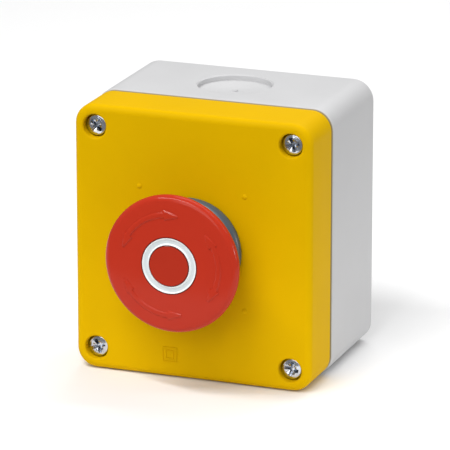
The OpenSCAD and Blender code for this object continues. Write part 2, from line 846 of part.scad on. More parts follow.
module mushroom_head() {
    color("firebrick") on_face() difference() {
        rotate_extrude() difference() {
            head_section();
            translate([skirt_r, skirt_level - over])
                square([head_r, under_level - under_r - skirt_level + over]);
            translate([head_flat_r, under_level - under_r]) circle(under_r);
        }
        translate([0, 0, skirt_level - over])
            cylinder(r = skirt_inner_r, h = hub_seat + hub_flange_t - skirt_level + over);
        translate([0, 0, skirt_level]) cylinder(d = hub_core_d, h = ceiling - skirt_level);
        translate([0, 0, pocket_floor]) cylinder(r = pocket_r, h = pocket_depth + over);
    }
}

// The ring fills its pocket up to the dome and has a channel with sloping sides
module head_ring() {
    color("whitesmoke") on_face() rotate_extrude() difference() {
        intersection() {
            translate([0, head_top - dome_r]) circle(dome_r, $fn = dome_fn);
            translate([ring_inner_r, pocket_floor]) square([ring_w, pocket_depth]);
        }
        translate([ring_inner_r, head_top]) polygon([
            [0, over],
            [0, 0],
            [ring_slope, -ring_channel],
            [ring_w - ring_slope, -ring_channel],
            [ring_w, 0],
            [ring_w, over]
        ]);
    }
}

module head_cap() {
    cap_r = ring_inner_r - ring_gap;
    color("firebrick") on_face() rotate_extrude() polygon([
        [0, pocket_floor],
        [cap_r, pocket_floor],
        [cap_r, head_top - cap_bevel],
        [cap_r - cap_bevel, head_top],
        [0, head_top]
    ]);
}

module trip_spring() {
    color("silver") on_face()
        coil(trip_r, trip_wire, cup_floor + spring_slack, hub_seat - spring_slack, trip_turns);
}

module twist_spring() {
    color("silver") on_face()
        coil(twist_r, twist_wire, cup_floor + spring_slack, hub_seat - spring_slack, twist_turns);
}

module latch_pin(side) {
    color("silver") on_face() translate([0, 0, -latch_level]) rotate([0, side * 90, 0])
        translate([0, 0, pin_tip]) cylinder(d = pin_d, h = pin_tail - pin_tip);
}

module latch_pin_left() {
    latch_pin(-1);
}

module latch_pin_right() {
    latch_pin(1);
}

module latch_spring() {
    color("silver") on_face() translate([0, 0, -latch_level])
        rotate_extrude() translate([latch_ring_r, 0]) circle(d = latch_wire);
}

module coupling_plate() {
    length = block_h + 2 * (hook_slack + hook_t);
    collar_r = shank_r + plate_collar_wall;
    color("slategray") on_face() difference() {
        union() {
            translate([0, 0, block_top]) linear_extrude(plate_t) rounded(plate_w, length, plate_r);
            translate([0, 0, block_top]) cylinder(r = collar_r, h = plate_t + plate_collar_h);
            for (s = [0, 1]) mirror([0, s, 0]) coupling_hook();
        }
        translate([0, 0, plate_top]) cylinder(r = shank_r, h = plate_collar_h + over);
        translate([0, 0, block_top - over]) cylinder(r = plate_hole_r, h = plate_t + 2 * over);
        for (s = [-1, 1]) translate([0, 0, plate_top + plate_collar_h / 2]) rotate([0, s * 90, 0])
            cylinder(d = clamp_screw_d, h = collar_r + over);
    }
}

// Spring hook that grips the ends of both contact blocks
module coupling_hook() {
    low = block_top - hook_len;
    y = block_h / 2 + hook_slack;
    translate([-block_pitch, y, low]) cube([2 * block_pitch, hook_t, hook_len + plate_t / 2]);
    translate([-block_pitch, y - hook_nose, low])
        cube([2 * block_pitch, hook_nose + hook_t / 2, hook_nose]);
}

module coupling_screws() {
    color("silver") on_face() for (s = [-1, 1])
        translate([0, 0, plate_top + plate_collar_h / 2]) rotate([0, s * 90, 0])
            translate([0, 0, shank_r]) difference() {
                cylinder(d = clamp_screw_d, h = clamp_screw_len);
                translate([-clamp_screw_d, -term_slot / 2, clamp_screw_len - term_slot])
                    cube([2 * clamp_screw_d, term_slot, over + term_slot]);
            }
}

// Puts its children at the top middle of the block on the left (-1) or right (1)
module in_block(side) {
    on_face() translate([side * block_pitch / 2, 0, block_top]) children();
}

// Moulded housing with a working chamber and two open terminal pockets
module block_housing(level) {
    notch = hook_nose + hook_slack;
    difference() {
        translate([-block_w / 2, -block_h / 2, -block_depth]) cube([block_w, block_h, block_depth]);
        translate([-cap_w / 2, -cap_h / 2, -cap_t]) cube([cap_w, cap_h, cap_t + over]);
        translate([-chamber_w / 2, -chamber_h / 2, chamber_floor])
            cube([chamber_w, chamber_h, block_depth]);
        for (s = [0, 1]) mirror([0, s, 0]) {
            translate([-chamber_w / 2, pocket_in, -block_depth - over])
                cube([chamber_w, pocket_out - pocket_in, block_depth - closed_level + 2 * over]);
            translate([-strip_w / 2, 0, -level - strip_t]) cube([strip_w, pocket_in + over, strip_t]);
            translate([-wire_w / 2, term_y, -flange_level - wire_h - clamp_t])
                cube([wire_w, block_h, wire_h]);
            translate([-block_w, block_h / 2 - notch, -hook_len - hook_slack])
                cube([2 * block_w, notch + over, hook_nose + 2 * hook_slack]);
        }
    }
}

module block_cap() {
    difference() {
        translate([-cap_w / 2, -cap_h / 2, -cap_t]) cube([cap_w, cap_h, cap_t]);
        translate([0, 0, -cap_t - over])
            cylinder(r = block_plunger_d / 2 + running, h = cap_t + 2 * over);
    }
}

// Pair of fixed strips, each bent down to its terminal, with the rivet above or below
module fixed_contacts(level, rivet_side) {
    bend = pocket_in + running;
    for (s = [0, 1]) mirror([0, s, 0]) difference() {
        union() {
            translate([-strip_w / 2, strip_end, -level - strip_t])
                cube([strip_w, bend + strip_t - strip_end, strip_t]);
            translate([-strip_w / 2, bend, -flange_level - strip_t])
                cube([strip_w, strip_t, flange_level - level + strip_t]);
            translate([-strip_w / 2, bend, -flange_level - strip_t])
                cube([strip_w, term_y + clamp_size / 2 - bend, strip_t]);
            translate([0, rivet_out, rivet_side > 0 ? -level : -level - strip_t - rivet_h])
                cylinder(d = rivet_d, h = rivet_h);
        }
        translate([0, term_y, -flange_level - strip_t - over]) cylinder(d = term_d, h = strip_t + 2 * over);
    }
}

module clamp_plates() {
    for (s = [0, 1]) mirror([0, s, 0])
        translate([0, term_y, -flange_level - strip_t - clamp_t]) difference() {
            translate([-clamp_size / 2, -clamp_size / 2, 0]) cube([clamp_size, clamp_size, clamp_t]);
            translate([0, 0, -over]) cylinder(d = term_d + clamp_slack, h = clamp_t + 2 * over);
        }
}

module terminal_screws() {
    for (s = [0, 1]) mirror([0, s, 0])
        translate([0, term_y, -flange_level - strip_t - clamp_t]) difference() {
            union() {
                translate([0, 0, -term_head_h]) cylinder(d = term_head_d, h = term_head_h);
                translate([0, 0, -over]) cylinder(d = term_d, h = term_len + over);
            }
            translate([-term_head_d, -term_slot / 2, -term_head_h - over])
                cube([2 * term_head_d, term_slot, over + term_head_h / 2]);
        }
}

// Moving bridge with a rivet near each end
module bridge(rivet_side) {
    translate([-bridge_w / 2, -bridge_len / 2, 0]) cube([bridge_w, bridge_len, strip_t]);
    for (s = [-1, 1]) translate([0, s * rivet_out, rivet_side > 0 ? strip_t : -rivet_h])
        cylinder(d = rivet_d, h = rivet_h);
}

module nc_housing() {
    color("darkred") in_block(-1) block_housing(closed_level);
}

module nc_cap() {
    color("darkred") in_block(-1) block_cap();
}

module nc_plunger() {
    yoke_w = bridge_w + 2 * (yoke_room + yoke_wall);
    low = closed_bridge - yoke_foot;
    high = -closed_level + yoke_wall;
    color("ivory") in_block(-1) difference() {
        union() {
            translate([0, 0, high - over])
                cylinder(d = block_plunger_d, h = plunger_top - high + over);
            translate([-yoke_w / 2, -yoke_len / 2, low]) cube([yoke_w, yoke_len, high - low]);
        }
        translate([-bridge_w / 2 - yoke_room, -yoke_len, closed_bridge])
            cube([bridge_w + 2 * yoke_room, 2 * yoke_len, strip_t + 2 * rivet_h]);
    }
}

module nc_bridge() {
    color("goldenrod") in_block(-1) translate([0, 0, closed_bridge]) bridge(1);
}

module nc_spring() {
    color("silver") in_block(-1) coil(block_spring_r, block_wire, chamber_floor + spring_slack,
        closed_bridge - yoke_foot - spring_slack, return_turns, 14, 6);
}

module nc_contacts() {
    color("goldenrod") in_block(-1) fixed_contacts(closed_level, -1);
}

module nc_clamps() {
    color("silver") in_block(-1) clamp_plates();
}

module nc_terminal_screws() {
    color("silver") in_block(-1) terminal_screws();
}

module no_housing() {
    color("darkgreen") in_block(1) block_housing(open_level);
}

module no_cap() {
    color("darkgreen") in_block(1) block_cap();
}

module no_plunger() {
    thin_r = thin_stem_d / 2;
    color("ivory") in_block(1) rotate_extrude() polygon([
        [0, plunger_top],
        [block_plunger_d / 2, plunger_top],
        [block_plunger_d / 2, -shoulder_level],
        [thin_r, -shoulder_level],
        [thin_r, open_bridge],
        [lifter_d / 2, open_bridge],
        [lifter_d / 2, lifter_level],
        [thin_r, lifter_level],
        [thin_r, lifter_level - thin_tail],
        [0, lifter_level - thin_tail]
    ]);
}

module no_bridge() {
    color("goldenrod") in_block(1) translate([0, 0, open_bridge]) difference() {
        bridge(-1);
        translate([0, 0, -over]) cylinder(r = thin_stem_d / 2 + running, h = strip_t + 2 * over);
    }
}

module no_spring() {
    color("silver") in_block(1) coil(block_spring_r, block_wire, chamber_floor + spring_slack,
        lifter_level - spring_slack, return_turns, 14, 6);
}

module no_contact_spring() {
    color("silver") in_block(1) coil(block_spring_r, block_wire, open_bridge + strip_t + spring_slack,
        -shoulder_level - spring_slack, contact_turns, 14, 6);
}

module no_contacts() {
    color("goldenrod") in_block(1) fixed_contacts(open_level, 1);
}

module no_clamps() {
    color("silver") in_block(1) clamp_plates();
}

module no_terminal_screws() {
    color("silver") in_block(1) terminal_screws();
}

base_box();
cover();
cover_gasket();
cover_screws();
screw_washers();
panel_washer();
actuator_body();
ring_nut();
stem_seal();
plunger();
hub_clip();
head_hub();
mushroom_head();
head_ring();
head_cap();
trip_spring();
twist_spring();
latch_pin_left();
latch_pin_right();
latch_spring();
coupling_plate();
coupling_screws();
nc_housing();
nc_cap();
nc_plunger();
nc_bridge();
nc_spring();
nc_contacts();
nc_clamps();
nc_terminal_screws();
no_housing();
no_cap();
no_plunger();
no_bridge();
no_spring();
no_contact_spring();
no_contacts();
no_clamps();
no_terminal_screws();
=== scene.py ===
# %% [markdown]
# # An emergency stop station on a small white table
# The solids of this station come from a CAD model: a grey box, a yellow cover, a red
# mushroom head on a push and twist actuator, and two contact blocks inside. Blender adds
# what a drawing doesn't hold: how each plastic and metal answers the light, the relief that
# was cut into the moulds, and small wire and screw forms. The CAD pieces could be modelled
# again by hand, but they already have their true sizes, so they are loaded and dressed.

# %% Load the solids
import math
import bmesh
import bpy
from mathutils import Matrix, Vector


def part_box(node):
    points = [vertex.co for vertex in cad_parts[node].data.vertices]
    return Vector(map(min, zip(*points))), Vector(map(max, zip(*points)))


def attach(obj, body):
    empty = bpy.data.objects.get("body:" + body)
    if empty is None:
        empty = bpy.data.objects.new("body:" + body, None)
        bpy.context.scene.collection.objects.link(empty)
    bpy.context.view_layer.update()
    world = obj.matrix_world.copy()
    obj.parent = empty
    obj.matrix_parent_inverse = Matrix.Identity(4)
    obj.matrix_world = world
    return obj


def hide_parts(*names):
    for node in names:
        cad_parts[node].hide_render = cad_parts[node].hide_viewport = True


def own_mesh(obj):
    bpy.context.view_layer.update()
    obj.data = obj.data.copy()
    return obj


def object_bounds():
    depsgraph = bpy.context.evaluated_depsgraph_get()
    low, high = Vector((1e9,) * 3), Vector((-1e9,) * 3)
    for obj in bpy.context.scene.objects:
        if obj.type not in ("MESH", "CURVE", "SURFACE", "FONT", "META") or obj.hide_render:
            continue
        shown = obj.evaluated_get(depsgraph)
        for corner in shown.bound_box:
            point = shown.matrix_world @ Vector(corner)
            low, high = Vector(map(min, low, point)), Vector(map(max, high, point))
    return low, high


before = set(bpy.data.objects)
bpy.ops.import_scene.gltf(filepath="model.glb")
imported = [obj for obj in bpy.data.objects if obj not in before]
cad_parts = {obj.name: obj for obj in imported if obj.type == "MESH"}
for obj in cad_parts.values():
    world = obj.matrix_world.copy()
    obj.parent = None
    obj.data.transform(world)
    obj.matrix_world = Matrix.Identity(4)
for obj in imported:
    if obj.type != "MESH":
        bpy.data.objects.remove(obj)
cad_box = [list(corner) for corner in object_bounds()]
scene = bpy.context.scene
print("nodes", len(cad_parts), "box in mm",
      [round(1000 * (high - low), 1) for low, high in zip(*cad_box)])

# %% [markdown]
# ## Places on the cover
# A station like this is drawn from the face of its cover outwards, so the pieces made here
# are too. One function turns such a place into Blender's frame, in which the cover looks
# along -Y. All lengths are written in millimetres, as on a drawing, and turned to metres.

# %% From a place on the cover to Blender's frame
MM = 0.001
FACE = 54.0          # the cover's face, in front of the wall


def on_face(x, up, out):
    """A point x to the right of the head's axis, up above it and out from the cover's face."""
    return Vector((x * MM, -(FACE + out) * MM, up * MM))


STAND_OUT = Matrix.Rotation(math.pi / 2, 4, "X")     # turns a piece drawn along Z to -Y
print("the head's axis meets the face at", [round(v, 4) for v in on_face(0, 0, 0)])

# %% [markdown]
# ## Colours
# Paint makers and web pages give a colour as sRGB hex, but a renderer adds light up in
# linear values. The curve between the two is the same for every colour, so one function
# turns a hex value into linear red, green and blue.

# %% One function for every colour


def colour(code):
    """Linear RGBA of an sRGB hex code such as "D5A900"."""
    parts = [int(code[i:i + 2], 16) / 255 for i in (0, 2, 4)]
    linear = [c / 12.92 if c <= 0.04045 else ((c + 0.055) / 1.055) ** 2.4 for c in parts]
    return (*linear, 1.0)


print("signal yellow in linear light", [round(c, 3) for c in colour("D5A900")[:3]])

# %% [markdown]
# ## One helper for every node
# Shader trees and Geometry Nodes trees are both made of nodes with sockets and settings.
# The helper adds one node of any kind: a socket gets either a plain value or a link.

# %% Add a node


def node(tree, kind, sockets=None, **settings):
    """Adds a node to a tree, with its settings, its values and its links."""
    made = tree.nodes.new(kind)
    for name, value in settings.items():
        setattr(made, name, value)
    for name, value in (sockets or {}).items():
        if isinstance(value, bpy.types.NodeSocket):
            tree.links.new(value, made.inputs[name])
        else:
            made.inputs[name].default_value = value
    return made


# %% [markdown]
# ## Moulded plastics
# ABS, polyamide and acetal come out of a steel mould whose surface was eroded or polished.
# The eye reads three things: an even colour with faint flow, a roughness that drifts a
# little, and a fine grain that softens reflections. The grain could be an image, but noise
# on Object coordinates needs no unwrapping and stays at its real size in millimetres.

# %% A moulded plastic
FLOW_MM, UNEVEN = 18, 0.04     # length of the flow marks, and how far the roughness drifts


def moulded(name, code, roughness, grain_mm, relief_mm, flow=0.03, ior=1.53, gloss=0.5):
    """A plastic of one colour, with flow marks, and a grain of that size and depth."""
    material = bpy.data.materials.new(name)
    material.use_nodes = True
    tree = material.node_tree
    shader = tree.nodes["Principled BSDF"]
    shader.inputs["IOR"].default_value = ior
    shader.inputs["Specular IOR Level"].default_value = gloss
    place = node(tree, "ShaderNodeTexCoord").outputs["Object"]
    drift = node(tree, "ShaderNodeTexNoise",
                 {"Vector": place, "Scale": 1 / (FLOW_MM * MM), "Detail": 3.0})
    grain = node(tree, "ShaderNodeTexNoise",
                 {"Vector": place, "Scale": 1 / (grain_mm * MM), "Detail": 2.0})
    base = colour(code)
    darker = (*[c * (1 - 2 * flow) for c in base[:3]], 1.0)
    lighter = (*[min(1.0, c * (1 + flow)) for c in base[:3]], 1.0)
    tint = node(tree, "ShaderNodeMix",
                {"Factor": drift.outputs["Fac"], 6: darker, 7: lighter}, data_type="RGBA")
    tree.links.new(tint.outputs[2], shader.inputs["Base Color"])
    rough = node(tree, "ShaderNodeMapRange",
                 {"Value": drift.outputs["Fac"],
                  "To Min": roughness - UNEVEN, "To Max": roughness + UNEVEN})
    tree.links.new(rough.outputs["Result"], shader.inputs["Roughness"])
    bump = node(tree, "ShaderNodeBump",
                {"Height": grain.outputs["Fac"], "Strength": 1.0, "Distance": relief_mm * MM})
    tree.links.new(bump.outputs["Normal"], shader.inputs["Normal"])
    return material


# %% The plastics of this station
# Grain sizes are drawn a little coarser than an eroded mould's 0.1 mm, so that they show.
# A fine satin grain: deep, even yellow with hardly any reflection, even at a low angle.
yellow_abs = moulded("Signal yellow ABS, satin moulded", "D5A900", 0.5, 0.5, 0.004,
                     gloss=0.02)
# The same grain in grey: soft and slightly cool, with a dull sheen.
grey_abs = moulded("Light grey ABS, satin moulded", "BFBFC0", 0.48, 0.5, 0.006, gloss=0.2)
# A polished mould: saturated red, and narrow highlights round the rim.
red_polyamide = moulded("Signal red polyamide, polished mould", "B6311E", 0.17, 0.9, 0.002,
                        gloss=0.13)
# The cap is a moulding of its own; its red is painted a shade darker than the dome's, as
# painted shade standing in for how the light falls on it.
red_cap_painted_shade = moulded("Signal red polyamide, cap darkened as painted shade", "AD2F1D", 0.17, 0.9, 0.002,
                  gloss=0.13)
# A polished mould in white: clean, with small reflections.
white_abs = moulded("White ABS, polished mould", "F6FAFA", 0.22, 0.9, 0.001)
# Glass filled and satin: a blue grey black, which scatters the light a little.
black_polyamide = moulded("Black polyamide, satin moulded", "4E5D69", 0.3, 0.5, 0.003)
# The plain inner mouldings: dull, and a shade lighter.
slate_polyamide = moulded("Slate grey polyamide, moulded", "5A646C", 0.5, 0.4, 0.008)
# Unpigmented acetal: waxy, creamy white.
natural_acetal = moulded("Natural acetal, moulded", "E9E2D0", 0.4, 0.7, 0.003, ior=1.48)
# Contact blocks from an eroded mould: a coarser grain that breaks up every reflection.
red_block = moulded("Red polyamide, eroded mould", "A5241E", 0.5, 0.35, 0.01)
green_block = moulded("Green polyamide, eroded mould", "1F7A44", 0.5, 0.35, 0.01)
# Rubber swallows the light: nearly black, and without a highlight.
nitrile = moulded("Black nitrile rubber, moulded", "1A1B1C", 0.72, 0.3, 0.008, ior=1.5)
print("plastics", len(bpy.data.materials))

# %% [markdown]
# ## Dark lines along the seams
# Where two mouldings meet, the shade in the narrow gap is painted into the colour: where the
# cover meets the box, and on both sides of the ring in the head. This painted shade draws each
# seam as a thin dark line. The ring's shallow channel is painted a shade greyer than its two
# lips in the same way, as painted shade. Each could be a piece of its own, but it is only a
# change of colour: a length is measured on Object coordinates, and where it falls below a
# limit, a darker colour is mixed in.

# %% Paint shade along the seams
LIP = 36.3                          # where the box's lip ends, in front of the wall
RING_MID_R, RING_HALF_W = 7.2, 1.0


def paint_shade(material, code, measure, shaded_at, unshaded_at):
    """Paints shade: mixes a darker colour into a plastic where a length falls to shaded_at, in
    mm.
    """
    tree = material.node_tree
    shader = tree.nodes["Principled BSDF"]
    unshaded = node(tree, "ShaderNodeMapRange",
                 {"Value": measure, "From Min": shaded_at * MM, "From Max": unshaded_at * MM})
    plastic = shader.inputs["Base Color"].links[0].from_socket
    mixed = node(tree, "ShaderNodeMix",
                 {"Factor": unshaded.outputs["Result"], 6: colour(code), 7: plastic},
                 data_type="RGBA")
    tree.links.new(mixed.outputs[2], shader.inputs["Base Color"])


def off_ring(tree):
    """How far a point lies from the circle along the middle of the head's ring."""
    place = node(tree, "ShaderNodeTexCoord").outputs["Object"]
    flat = node(tree, "ShaderNodeVectorMath", {0: place, 1: (1.0, 0.0, 1.0)},
                operation="MULTIPLY")
    radius = node(tree, "ShaderNodeVectorMath", {0: flat.outputs[0]}, operation="LENGTH")
    beside = node(tree, "ShaderNodeMath", {0: radius.outputs["Value"], 1: RING_MID_R * MM},
                  operation="SUBTRACT")
    return node(tree, "ShaderNodeMath", {0: beside.outputs[0]}, operation="ABSOLUTE").outputs[0]


# Y falls towards the front: painted shade darkens the box's lip at its end, where the cover
# meets it, and fades out a little further back.
place = node(grey_abs.node_tree, "ShaderNodeTexCoord").outputs["Object"]
depth = node(grey_abs.node_tree, "ShaderNodeSeparateXYZ", {0: place}).outputs["Y"]
paint_shade(grey_abs, "8E8362", depth, 0.12 - LIP, 0.32 - LIP)
# Painted shade: a thin dark line on the red on both sides of the ring.
for red in (red_polyamide, red_cap_painted_shade):
    paint_shade(red, "6A2018", off_ring(red.node_tree), RING_HALF_W + 0.3, RING_HALF_W + 0.42)
# Painted shade: the middle of the ring's channel is painted greyer than its two lips.
paint_shade(white_abs, "D0D8DA", off_ring(white_abs.node_tree), RING_HALF_W - 0.6, RING_HALF_W - 0.25)
print("seams at", LIP, "mm and on both sides of radius", RING_MID_R, "mm")

# %% [markdown]
# ## Plated steel, spring wire and brass
# Metals have no colour under their reflection: the reflection itself is tinted. A zinc plated
# screw is bright with faint clouds, drawn wire has streaks, and stamped brass has a fine
# tumbled surface. All three are full metals with the default IOR, and only their tint,
# roughness and grain differ, so one function makes them.

# %% A metal
CLOUD_MM = 1.6                      # size of the clouds
SHINIER, DULLER = 0.06, 0.08        # how far the roughness drifts down and up


def metal(name, code, cloud_code, roughness, grain_mm, relief_mm):
    """A full metal with clouds of a second tint and a grain of that size and depth."""
    material = bpy.data.materials.new(name)
    material.use_nodes = True
    tree = material.node_tree
    shader = tree.nodes["Principled BSDF"]
    shader.inputs["Metallic"].default_value = 1.0
    place = node(tree, "ShaderNodeTexCoord").outputs["Object"]
    clouds = node(tree, "ShaderNodeTexNoise",
                  {"Vector": place, "Scale": 1 / (CLOUD_MM * MM), "Detail": 4.0})
    grain = node(tree, "ShaderNodeTexNoise",
                 {"Vector": place, "Scale": 1 / (grain_mm * MM), "Detail": 2.0})
    tint = node(tree, "ShaderNodeMix",
                {"Factor": clouds.outputs["Fac"], 6: colour(code), 7: colour(cloud_code)},
                data_type="RGBA")
    tree.links.new(tint.outputs[2], shader.inputs["Base Color"])
    rough = node(tree, "ShaderNodeMapRange",
                 {"Value": clouds.outputs["Fac"],
                  "To Min": roughness - SHINIER, "To Max": roughness + DULLER})
    tree.links.new(rough.outputs["Result"], shader.inputs["Roughness"])
    bump = node(tree, "ShaderNodeBump",
                {"Height": grain.outputs["Fac"], "Strength": 1.0, "Distance": relief_mm * MM})
    tree.links.new(bump.outputs["Normal"], shader.inputs["Normal"])
    return material


# %% The metals of this station
# Bright zinc over pressed steel: mirror bright, and uneven enough to sparkle.
bright_zinc = metal("Bright zinc plated steel", "F0F4FA", "9AA1AD", 0.15, 0.7, 0.035)
# Drawn wire: smoother, with a warmer and more even shine.
spring_wire = metal("Drawn stainless spring wire", "C9C8C4", "9C9B98", 0.28, 0.15, 0.004)
# Tumbled brass: soft golden reflections.
stamped_brass = metal("Stamped brass, tumbled", "D9B46A", "B98F45", 0.3, 0.3, 0.006)
print("materials", [m.name for m in bpy.data.materials])

# %% [markdown]
# ## Dressing the CAD solids
# Each solid arrives as loose triangles, so a round corner would show its facets. Merging the
# corners and smoothing every edge under 30 degrees could be done on the meshes, but a small
# Geometry Nodes modifier leaves the CAD meshes as they are, and one tree serves all of them.

# %% Smooth the round faces and keep the sharp edges


def new_tree(name, **sizes):
    """A Geometry Nodes tree with a geometry input, named sizes and a geometry output."""
    tree = bpy.data.node_groups.new(name, "GeometryNodeTree")
    tree.interface.new_socket("Geometry", in_out="INPUT", socket_type="NodeSocketGeometry")
    kinds = {int: "NodeSocketInt", float: "NodeSocketFloat",
             bpy.types.Material: "NodeSocketMaterial"}
    for label, value in sizes.items():
        socket = tree.interface.new_socket(label, in_out="INPUT",
                                           socket_type=kinds[type(value)])
        socket.default_value = value
    tree.interface.new_socket("Geometry", in_out="OUTPUT", socket_type="NodeSocketGeometry")
    return tree, node(tree, "NodeGroupInput").outputs


def smooth_above(tree, geometry, degrees):
    """Adds the nodes that smooth a mesh but keep edges sharper than an angle."""
    smooth = node(tree, "GeometryNodeSetShadeSmooth", {"Geometry": geometry}, domain="FACE")
    angle = node(tree, "GeometryNodeInputMeshEdgeAngle").outputs["Unsigned Angle"]
    sharp = node(tree, "FunctionNodeCompare", {0: angle, 1: math.radians(degrees)},
                 data_type="FLOAT", operation="GREATER_THAN")
    return node(tree, "GeometryNodeSetShadeSmooth",
                {"Geometry": smooth.outputs[0], "Selection": sharp.outputs[0],
                 "Shade Smooth": False}, domain="EDGE").outputs[0]


WELD = 1e-6          # corners nearer than this, in metres, are one
soften, given = new_tree("Smooth CAD faces")
merged = node(soften, "GeometryNodeMergeByDistance", {"Geometry": given[0], "Distance": WELD})
node(soften, "NodeGroupOutput", {0: smooth_above(soften, merged.outputs[0], 30)})
print("tree", soften.name, "with", len(soften.nodes), "nodes")

# %% Give every solid its finish
FINISHES = {
    yellow_abs: ["cover"],
    grey_abs: ["base_box"],
    red_polyamide: ["mushroom_head"],
    red_cap_painted_shade: ["head_cap"],
    white_abs: ["head_ring"],
    black_polyamide: ["actuator_body", "head_hub"],
    slate_polyamide: ["coupling_plate"],
    nitrile: ["cover_gasket", "screw_washers", "panel_washer", "stem_seal"],
    bright_zinc: ["cover_screws", "ring_nut", "coupling_screws", "nc_clamps", "no_clamps",
                  "nc_terminal_screws", "no_terminal_screws"],
    spring_wire: ["trip_spring", "twist_spring", "latch_spring", "latch_pin_left",
                  "latch_pin_right", "hub_clip", "nc_spring", "no_spring", "no_contact_spring"],
    natural_acetal: ["plunger", "nc_plunger", "no_plunger"],
    red_block: ["nc_housing", "nc_cap"],
    green_block: ["no_housing", "no_cap"],
    stamped_brass: ["nc_bridge", "no_bridge", "nc_contacts", "no_contacts"],
}
for material, names in FINISHES.items():
    for name in names:
        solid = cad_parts[name]
        solid.data.materials.clear()
        solid.data.materials.append(material)
        solid.modifiers.new("Smooth", "NODES").node_group = soften
print("dressed", sum(len(names) for names in FINISHES.values()), "of", len(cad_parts))

# %% [markdown]
# ## Running a tree once
# The small pieces below are grown by Geometry Nodes. Their result is kept as a plain mesh,
# because an exported model holds meshes and not modifiers, and then rides on its CAD body.

# %% Grow a piece


def grow(name, tree, body, slot, start=None, **values):
    """Runs a tree on a mesh or on nothing and returns the result as one plain mesh object."""
    piece = bpy.data.objects.new(name, start or bpy.data.meshes.new(name))
    scene.collection.objects.link(piece)
    modifier = piece.modifiers.new("Grow", "NODES")
    modifier.node_group = tree
    for item in tree.interface.items_tree:
        if item.in_out == "INPUT" and item.name in values:
            modifier[item.identifier] = values[item.name]
    bpy.context.view_layer.update()
    seen = piece.evaluated_get(bpy.context.evaluated_depsgraph_get())
    mesh = bpy.data.meshes.new_from_object(seen)
    piece.modifiers.clear()
    piece.data = mesh
    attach(piece, body)
    print(name, len(mesh.polygons), "faces")
    return piece


# %% [markdown]
# ## Springs
# The CAD springs are plain eight-sided coils. A real compression spring is wound from round
# wire, with its last turns closed up so that it stands square. A spiral curve whose height
# follows a curve does that: it climbs slowly at both ends and fast between them.

# %% A tree that winds a spring
wire_tree, given = new_tree("Compression spring", Radius=9 * MM, Wire=0.45 * MM, Turns=5.0,
                            Length=9 * MM, Finish=spring_wire)
spiral = node(wire_tree, "GeometryNodeCurveSpiral",
              {"Resolution": 40, "Rotations": given["Turns"], "Start Radius": given["Radius"],
               "End Radius": given["Radius"], "Height": 0.0})
climb = node(wire_tree, "ShaderNodeFloatCurve",
             {"Value": node(wire_tree, "GeometryNodeSplineParameter").outputs["Factor"]})
# The first and the last sixth of the turns climb a tenth of the height each.
for x, y in ((0.16, 0.1), (0.84, 0.9)):
    climb.mapping.curves[0].points.new(x, y)
for point in climb.mapping.curves[0].points:
    point.handle_type = "AUTO"
climb.mapping.update()
wire_room = node(wire_tree, "ShaderNodeMath", {0: given["Wire"], 1: -2.0, 2: given["Length"]},
                 operation="MULTIPLY_ADD")
height = node(wire_tree, "ShaderNodeMath",
              {0: climb.outputs[0], 1: wire_room.outputs[0], 2: given["Wire"]},
              operation="MULTIPLY_ADD")
lift = node(wire_tree, "ShaderNodeCombineXYZ", {"Z": height.outputs[0]})
wound = node(wire_tree, "GeometryNodeSetPosition",
             {"Geometry": spiral.outputs[0], "Offset": lift.outputs[0]})
section = node(wire_tree, "GeometryNodeCurvePrimitiveCircle",
               {"Resolution": 12, "Radius": given["Wire"]})
wire = node(wire_tree, "GeometryNodeCurveToMesh",
            {"Curve": wound.outputs[0], "Profile Curve": section.outputs[0], "Fill Caps": True})
whole = node(wire_tree, "GeometryNodeRealizeInstances",
             {"Geometry": smooth_above(wire_tree, wire.outputs[0], 50)})
node(wire_tree, "NodeGroupOutput",
     {0: node(wire_tree, "GeometryNodeSetMaterial",
              {"Geometry": whole.outputs[0], "Material": given["Finish"]}).outputs[0]})
print("tree", wire_tree.name, "with", len(wire_tree.nodes), "nodes")

# %% Wind the springs


def spring(node_name, x, low, length, radius, wire, turns, body):
    """Winds a spring, stands it on the level low and hangs it on a body."""
    piece = grow(node_name + "_wire", wire_tree, body, "spring_steel", Radius=radius * MM,
                 Wire=wire / 2 * MM, Turns=turns, Length=length * MM)
    piece.data.transform(Matrix.Translation(on_face(x, 0, low)) @ STAND_OUT)
    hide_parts(node_name)
    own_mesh(piece)


def spring_of(node_name, x, wire, turns, body="root"):
    """A spring with the length, place and radius of its CAD solid, its rear end on a body."""
    low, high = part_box(node_name)
    spring(node_name, x, -high.y / MM - FACE, (high.y - low.y) / MM,
           (high.x - low.x) / 2 / MM - wire / 2, wire, turns, body)


spring_of("trip_spring", 0, 0.9, 5.5)
spring_of("twist_spring", 0, 0.6, 5.5)
spring_of("nc_spring", -5.2, 0.4, 9.0)
spring_of("no_spring", 5.2, 0.4, 9.0)
# The plunger pushes this one 4 mm while the bridge that it stands on gives way by 2.4 mm.
spring_of("no_contact_spring", 5.2, 0.4, 5.0, "no_bridge")

# %% [markdown]
# ## Cover screws
# The screws have a low domed head and a cross drive with four extra ticks. The press that
# forms the drive leaves slanting facets between its arms, and they make the screw sparkle.
# A height map could only shade such a drive, so it is cut out of the head: the head is turned
# on a lathe, and booleans take away the facets, the tapered cross and the ticks.

# %% Turn the screw's head
HEAD_R, HEAD_H = 3.15, 2.4
CROWN, EDGE_R = 0.4, 0.5                     # how far the head bulges, and its round edge
CROWN_EDGE = HEAD_R - EDGE_R
CROWN_R = (CROWN_EDGE ** 2 + CROWN ** 2) / (2 * CROWN)


